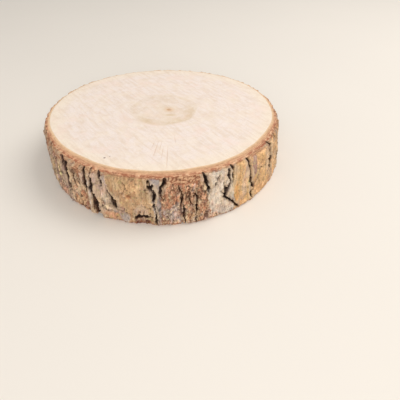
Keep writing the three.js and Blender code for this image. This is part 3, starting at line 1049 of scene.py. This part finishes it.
def bark_material(colours):
    """Weathered plates with scales, fibres and dark furrows between them."""
    material, t, shader, place = new_material("outer_bark", 0.9)
    tone = t.stored("tone", "Color")
    furrow, scaly, bast = t.stored("furrow"), t.stored("scaliness"), t.stored("bast")
    upright = t.vector("MULTIPLY", place, (1, 1, 0.2))
    streaks = t.ease(t.noise(upright, 1300.0, 4.0, 0.65), 0.3, 0.7)
    mottle = t.ease(t.noise(place, 480.0, 4.0, 0.65, 0.4), 0.3, 0.7)
    specks = t.ease(t.noise(place, 2300.0, 3.0, 0.7), 0.3, 0.7)
    calm = t.ease(scaly, 0.05, 0.8, 0.38, 1.3)

    # Colours that drift over each plate: redder, greyer and paler in turn.
    drift = t.vector("MULTIPLY", place, (1, 1, 0.55))
    patches = [
        (place, (330.0, 3.0), (0.5, 0.66, 0.0, 0.5), colours.rust),
        (drift, (400.0, 3.0, 0.6, 0.5), (0.52, 0.66, 0.0, 0.42), colours.grey),
        (drift, (700.0, 4.0, 0.65), (0.52, 0.64, 0.0, 0.6), colours.cream_bark),
    ]
    shade = t.drifts(tone, patches, calm)
    streaky = t.times(t.less(streaks, 0.5), t.ease(scaly, 0.1, 0.7, 0.14, 0.4))
    texture = t.times_plus(t.less(mottle, 0.5), 0.42, streaky)
    texture = t.times_plus(t.less(specks, 0.5), 0.2, texture)
    shade = t.tint(shade, t.times_plus(texture, calm, 0.5), 0.1, 1.9)
    flecks = t.ease(t.noise(drift, 1150.0, 4.0, 0.7, 0.5), 0.54, 0.63, 0.0, 0.7)
    shade = t.over(shade, t.scaled(shade, 0.42), flecks)
    yellowed = t.ease(t.noise(place, 620.0, 3.0, 0.6), 0.58, 0.66)
    shade = t.over(shade, colours.lichen, yellowed, t.ease(scaly, 0.1, 0.6, 0.45, 0.0))
    grime = t.ease(t.noise(place, 260.0, 4.0, 0.65), 0.5, 0.64, 0.0, 0.55)
    shade = t.over(shade, t.scaled(shade, 0.35), grime, scaly)
    shade = t.tint(shade, t.stored("scale_chance"), 0.9, 1.1)
    shade = t.tint(shade, t.stored("flake_layer"), 1.0, 1.6)
    sunk = t.ease(t.stored("rise"), -0.05, -0.5)
    shade = t.over(shade, colours.inner_lines, sunk, t.ease(mottle, 0.35, 0.6), 0.5)
    # Painted highlight in cream along each flake's lip, and painted shadow under each flake's edge.
    shade = t.over(shade, colours.cream_bark, t.stored("flake_light"), 0.6)
    shade = t.over(shade, colours.furrow_wall, t.stored("flake_shadow"), 0.75)

    # Torn inner bark: orange-tan with thin reddish lines, and a dark line where the plates begin.
    lines = t.ease(t.maths("ABSOLUTE", t.stored("layers")), 0.0, 0.06, 0.95, 0.0)
    fresh = t.over(colours.inner_bark, t.scaled(colours.salmon, 0.8), mottle)
    fresh = t.over(fresh, t.scaled(colours.inner_lines, 0.8), lines)
    shade = t.over(shade, t.tint(fresh, specks, 0.84, 1.1), bast)
    border = t.times(t.ease(bast, 0.05, 0.4), t.ease(bast, 0.5, 0.95, 1.0, 0.0))
    shade = t.over(shade, colours.inner_lines, border, 0.55)

    # The furrows' lips get a painted highlight in cream or are bruised plum. Their sides and the scales'
    # cracks get painted shade, the plate's colour darkened; their floors and strong cracks' cores get
    # near-black painted shadow.
    lip = t.ease(t.stored("lip"), 0.1, 0.45)
    bruised = t.times(t.ease(lip, 0.45, 1.0), t.ease(t.noise(place, 500.0, 4.0, 0.65), 0.46, 0.56))
    shade = t.over(shade, t.scaled(colours.plum, 0.85), bruised, 0.6)
    shade = t.over(shade, colours.cream_bark, lip, streaks, 0.75)
    wall = t.over(t.scaled(tone, 0.32), colours.furrow_wall, 0.5)
    shade = t.over(shade, wall, t.ease(t.stored("crack"), 0.15, 0.8), 0.85)
    shade = t.over(shade, wall, t.ease(furrow, 0.06, 0.24, 0.0, 0.9))
    floor = t.over(colours.furrow, wall, t.ease(mottle, 0.35, 0.85, 0.0, 0.6))
    shade = t.over(shade, floor, t.ease(furrow, 0.16, 0.36))
    shade = t.over(shade, floor, t.stored("dark"), t.ease(specks, 0.0, 0.6, 0.7, 1.0))
    height = t.times_plus(streaks, 0.8, t.times_plus(specks, 0.45, mottle))
    set_surface(t, shader, shade, height, 0.28 * MM, 0.9)
    return material


# ---- operators


FLOOR_REACH = 3.0
FLOOR_GAP = 0.02 * MM  # keeps the floor clear of the sawn underside
LAMPS = {"key": ((0.38, 0.10, 0.52), 0.42), "fill": ((0.06, -0.64, 0.22), 0.55)}  # place and width
LAMP_COLOUR = (1.0, 0.96, 0.91)
SKY_COLOUR = (1.0, 0.97, 0.93, 1)


class SLICE_OT_slice(bpy.types.Operator):
    """Grow the slice: sawn faces, inner bark and furrowed plates as one closed piece"""

    bl_idname = "wood_slice.slice"
    bl_label = "Slice"

    def execute(self, context):
        shape, colours = context.scene.slice_shape, context.scene.slice_colours
        mesh, trunk = slice_mesh(shape, colours)
        tree = relief_tree(shape, sawn_material(shape, colours, trunk.axis), bark_material(colours))
        piece = grow("slice", mesh, tree, relief_inputs(shape))
        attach(piece, "root")
        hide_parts(NODE)
        return {"FINISHED"}


class SLICE_OT_stage(bpy.types.Operator):
    """Lay the pale floor, hang the soft lights and set the camera"""

    bl_idname = "wood_slice.stage"
    bl_label = "Stage"

    def execute(self, context):
        scene, stage = context.scene, context.scene.slice_stage
        self.lay_floor(stage)
        for name, (place, size) in LAMPS.items():
            self.light(name, place, size, getattr(stage, name + "_power"))
        world = bpy.data.worlds.new("studio")
        world.use_nodes = True
        sky = world.node_tree.nodes["Background"].inputs
        sky["Color"].default_value = SKY_COLOUR
        sky["Strength"].default_value = stage.sky
        scene.world = world
        scene.view_settings.view_transform = "Standard"
        camera = bpy.data.cameras.new("camera")
        camera.lens = stage.lens
        camera.clip_start = 5 * MM
        eye = add_object("camera", camera)
        eye.location = stage.eye
        eye.rotation_euler = (math.radians(90) - stage.pitch, 0, 0)
        scene.camera = eye
        return {"FINISHED"}

    def lay_floor(self, stage):
        mesh = bpy.data.meshes.new("floor")
        corners = [(-1, -1), (1, -1), (1, 1), (-1, 1)]
        points = [(x * FLOOR_REACH, y * FLOOR_REACH, LOW.z - FLOOR_GAP) for x, y in corners]
        mesh.from_pydata(points, [], [range(4)])
        floor = add_object("floor", mesh)
        material, t, shader, place = new_material("floor", 0.8)
        t.feed(shader.inputs["Base Color"], t.tint(stage.floor, t.noise(place, 12.0, 2.0), 0.985, 1.015))
        mesh.materials.append(material)

    def light(self, name, place, size, power):
        lamp = bpy.data.lights.new(name, "AREA")
        lamp.energy, lamp.size = power, size
        lamp.color = LAMP_COLOUR
        holder = add_object(name, lamp)
        holder.location = place
        holder.rotation_euler = (-Vector(place)).to_track_quat("-Z", "Y").to_euler()


class SLICE_PT_panel(bpy.types.Panel):
    """Buttons for each piece and the stage, with their settings"""

    bl_idname = "SLICE_PT_panel"
    bl_label = "Wood slice"
    bl_space_type = "VIEW_3D"
    bl_region_type = "UI"
    bl_category = "Wood slice"

    def draw(self, context):
        for operator in OPERATORS:
            self.layout.operator(operator.bl_idname)
        for settings in SETTINGS:
            group = getattr(context.scene, settings)
            column = self.layout.column(heading=settings.replace("_", " "))
            for name in group.__annotations__:
                column.prop(group, name)


OPERATORS = (SLICE_OT_slice, SLICE_OT_stage)
SETTINGS = {"slice_shape": SliceShape, "slice_colours": SliceColours, "slice_stage": StageSettings}
CLASSES = (*SETTINGS.values(), *OPERATORS, SLICE_PT_panel)


def register():
    for cls in CLASSES:
        bpy.utils.register_class(cls)
    for name, cls in SETTINGS.items():
        setattr(bpy.types.Scene, name, PointerProperty(type=cls))


def unregister():
    for name in SETTINGS:
        delattr(bpy.types.Scene, name)
    for cls in reversed(CLASSES):
        bpy.utils.unregister_class(cls)


def main():
    register()
    bpy.ops.wood_slice.slice()
    bpy.ops.wood_slice.stage()


if __name__ == "__main__":
    main()
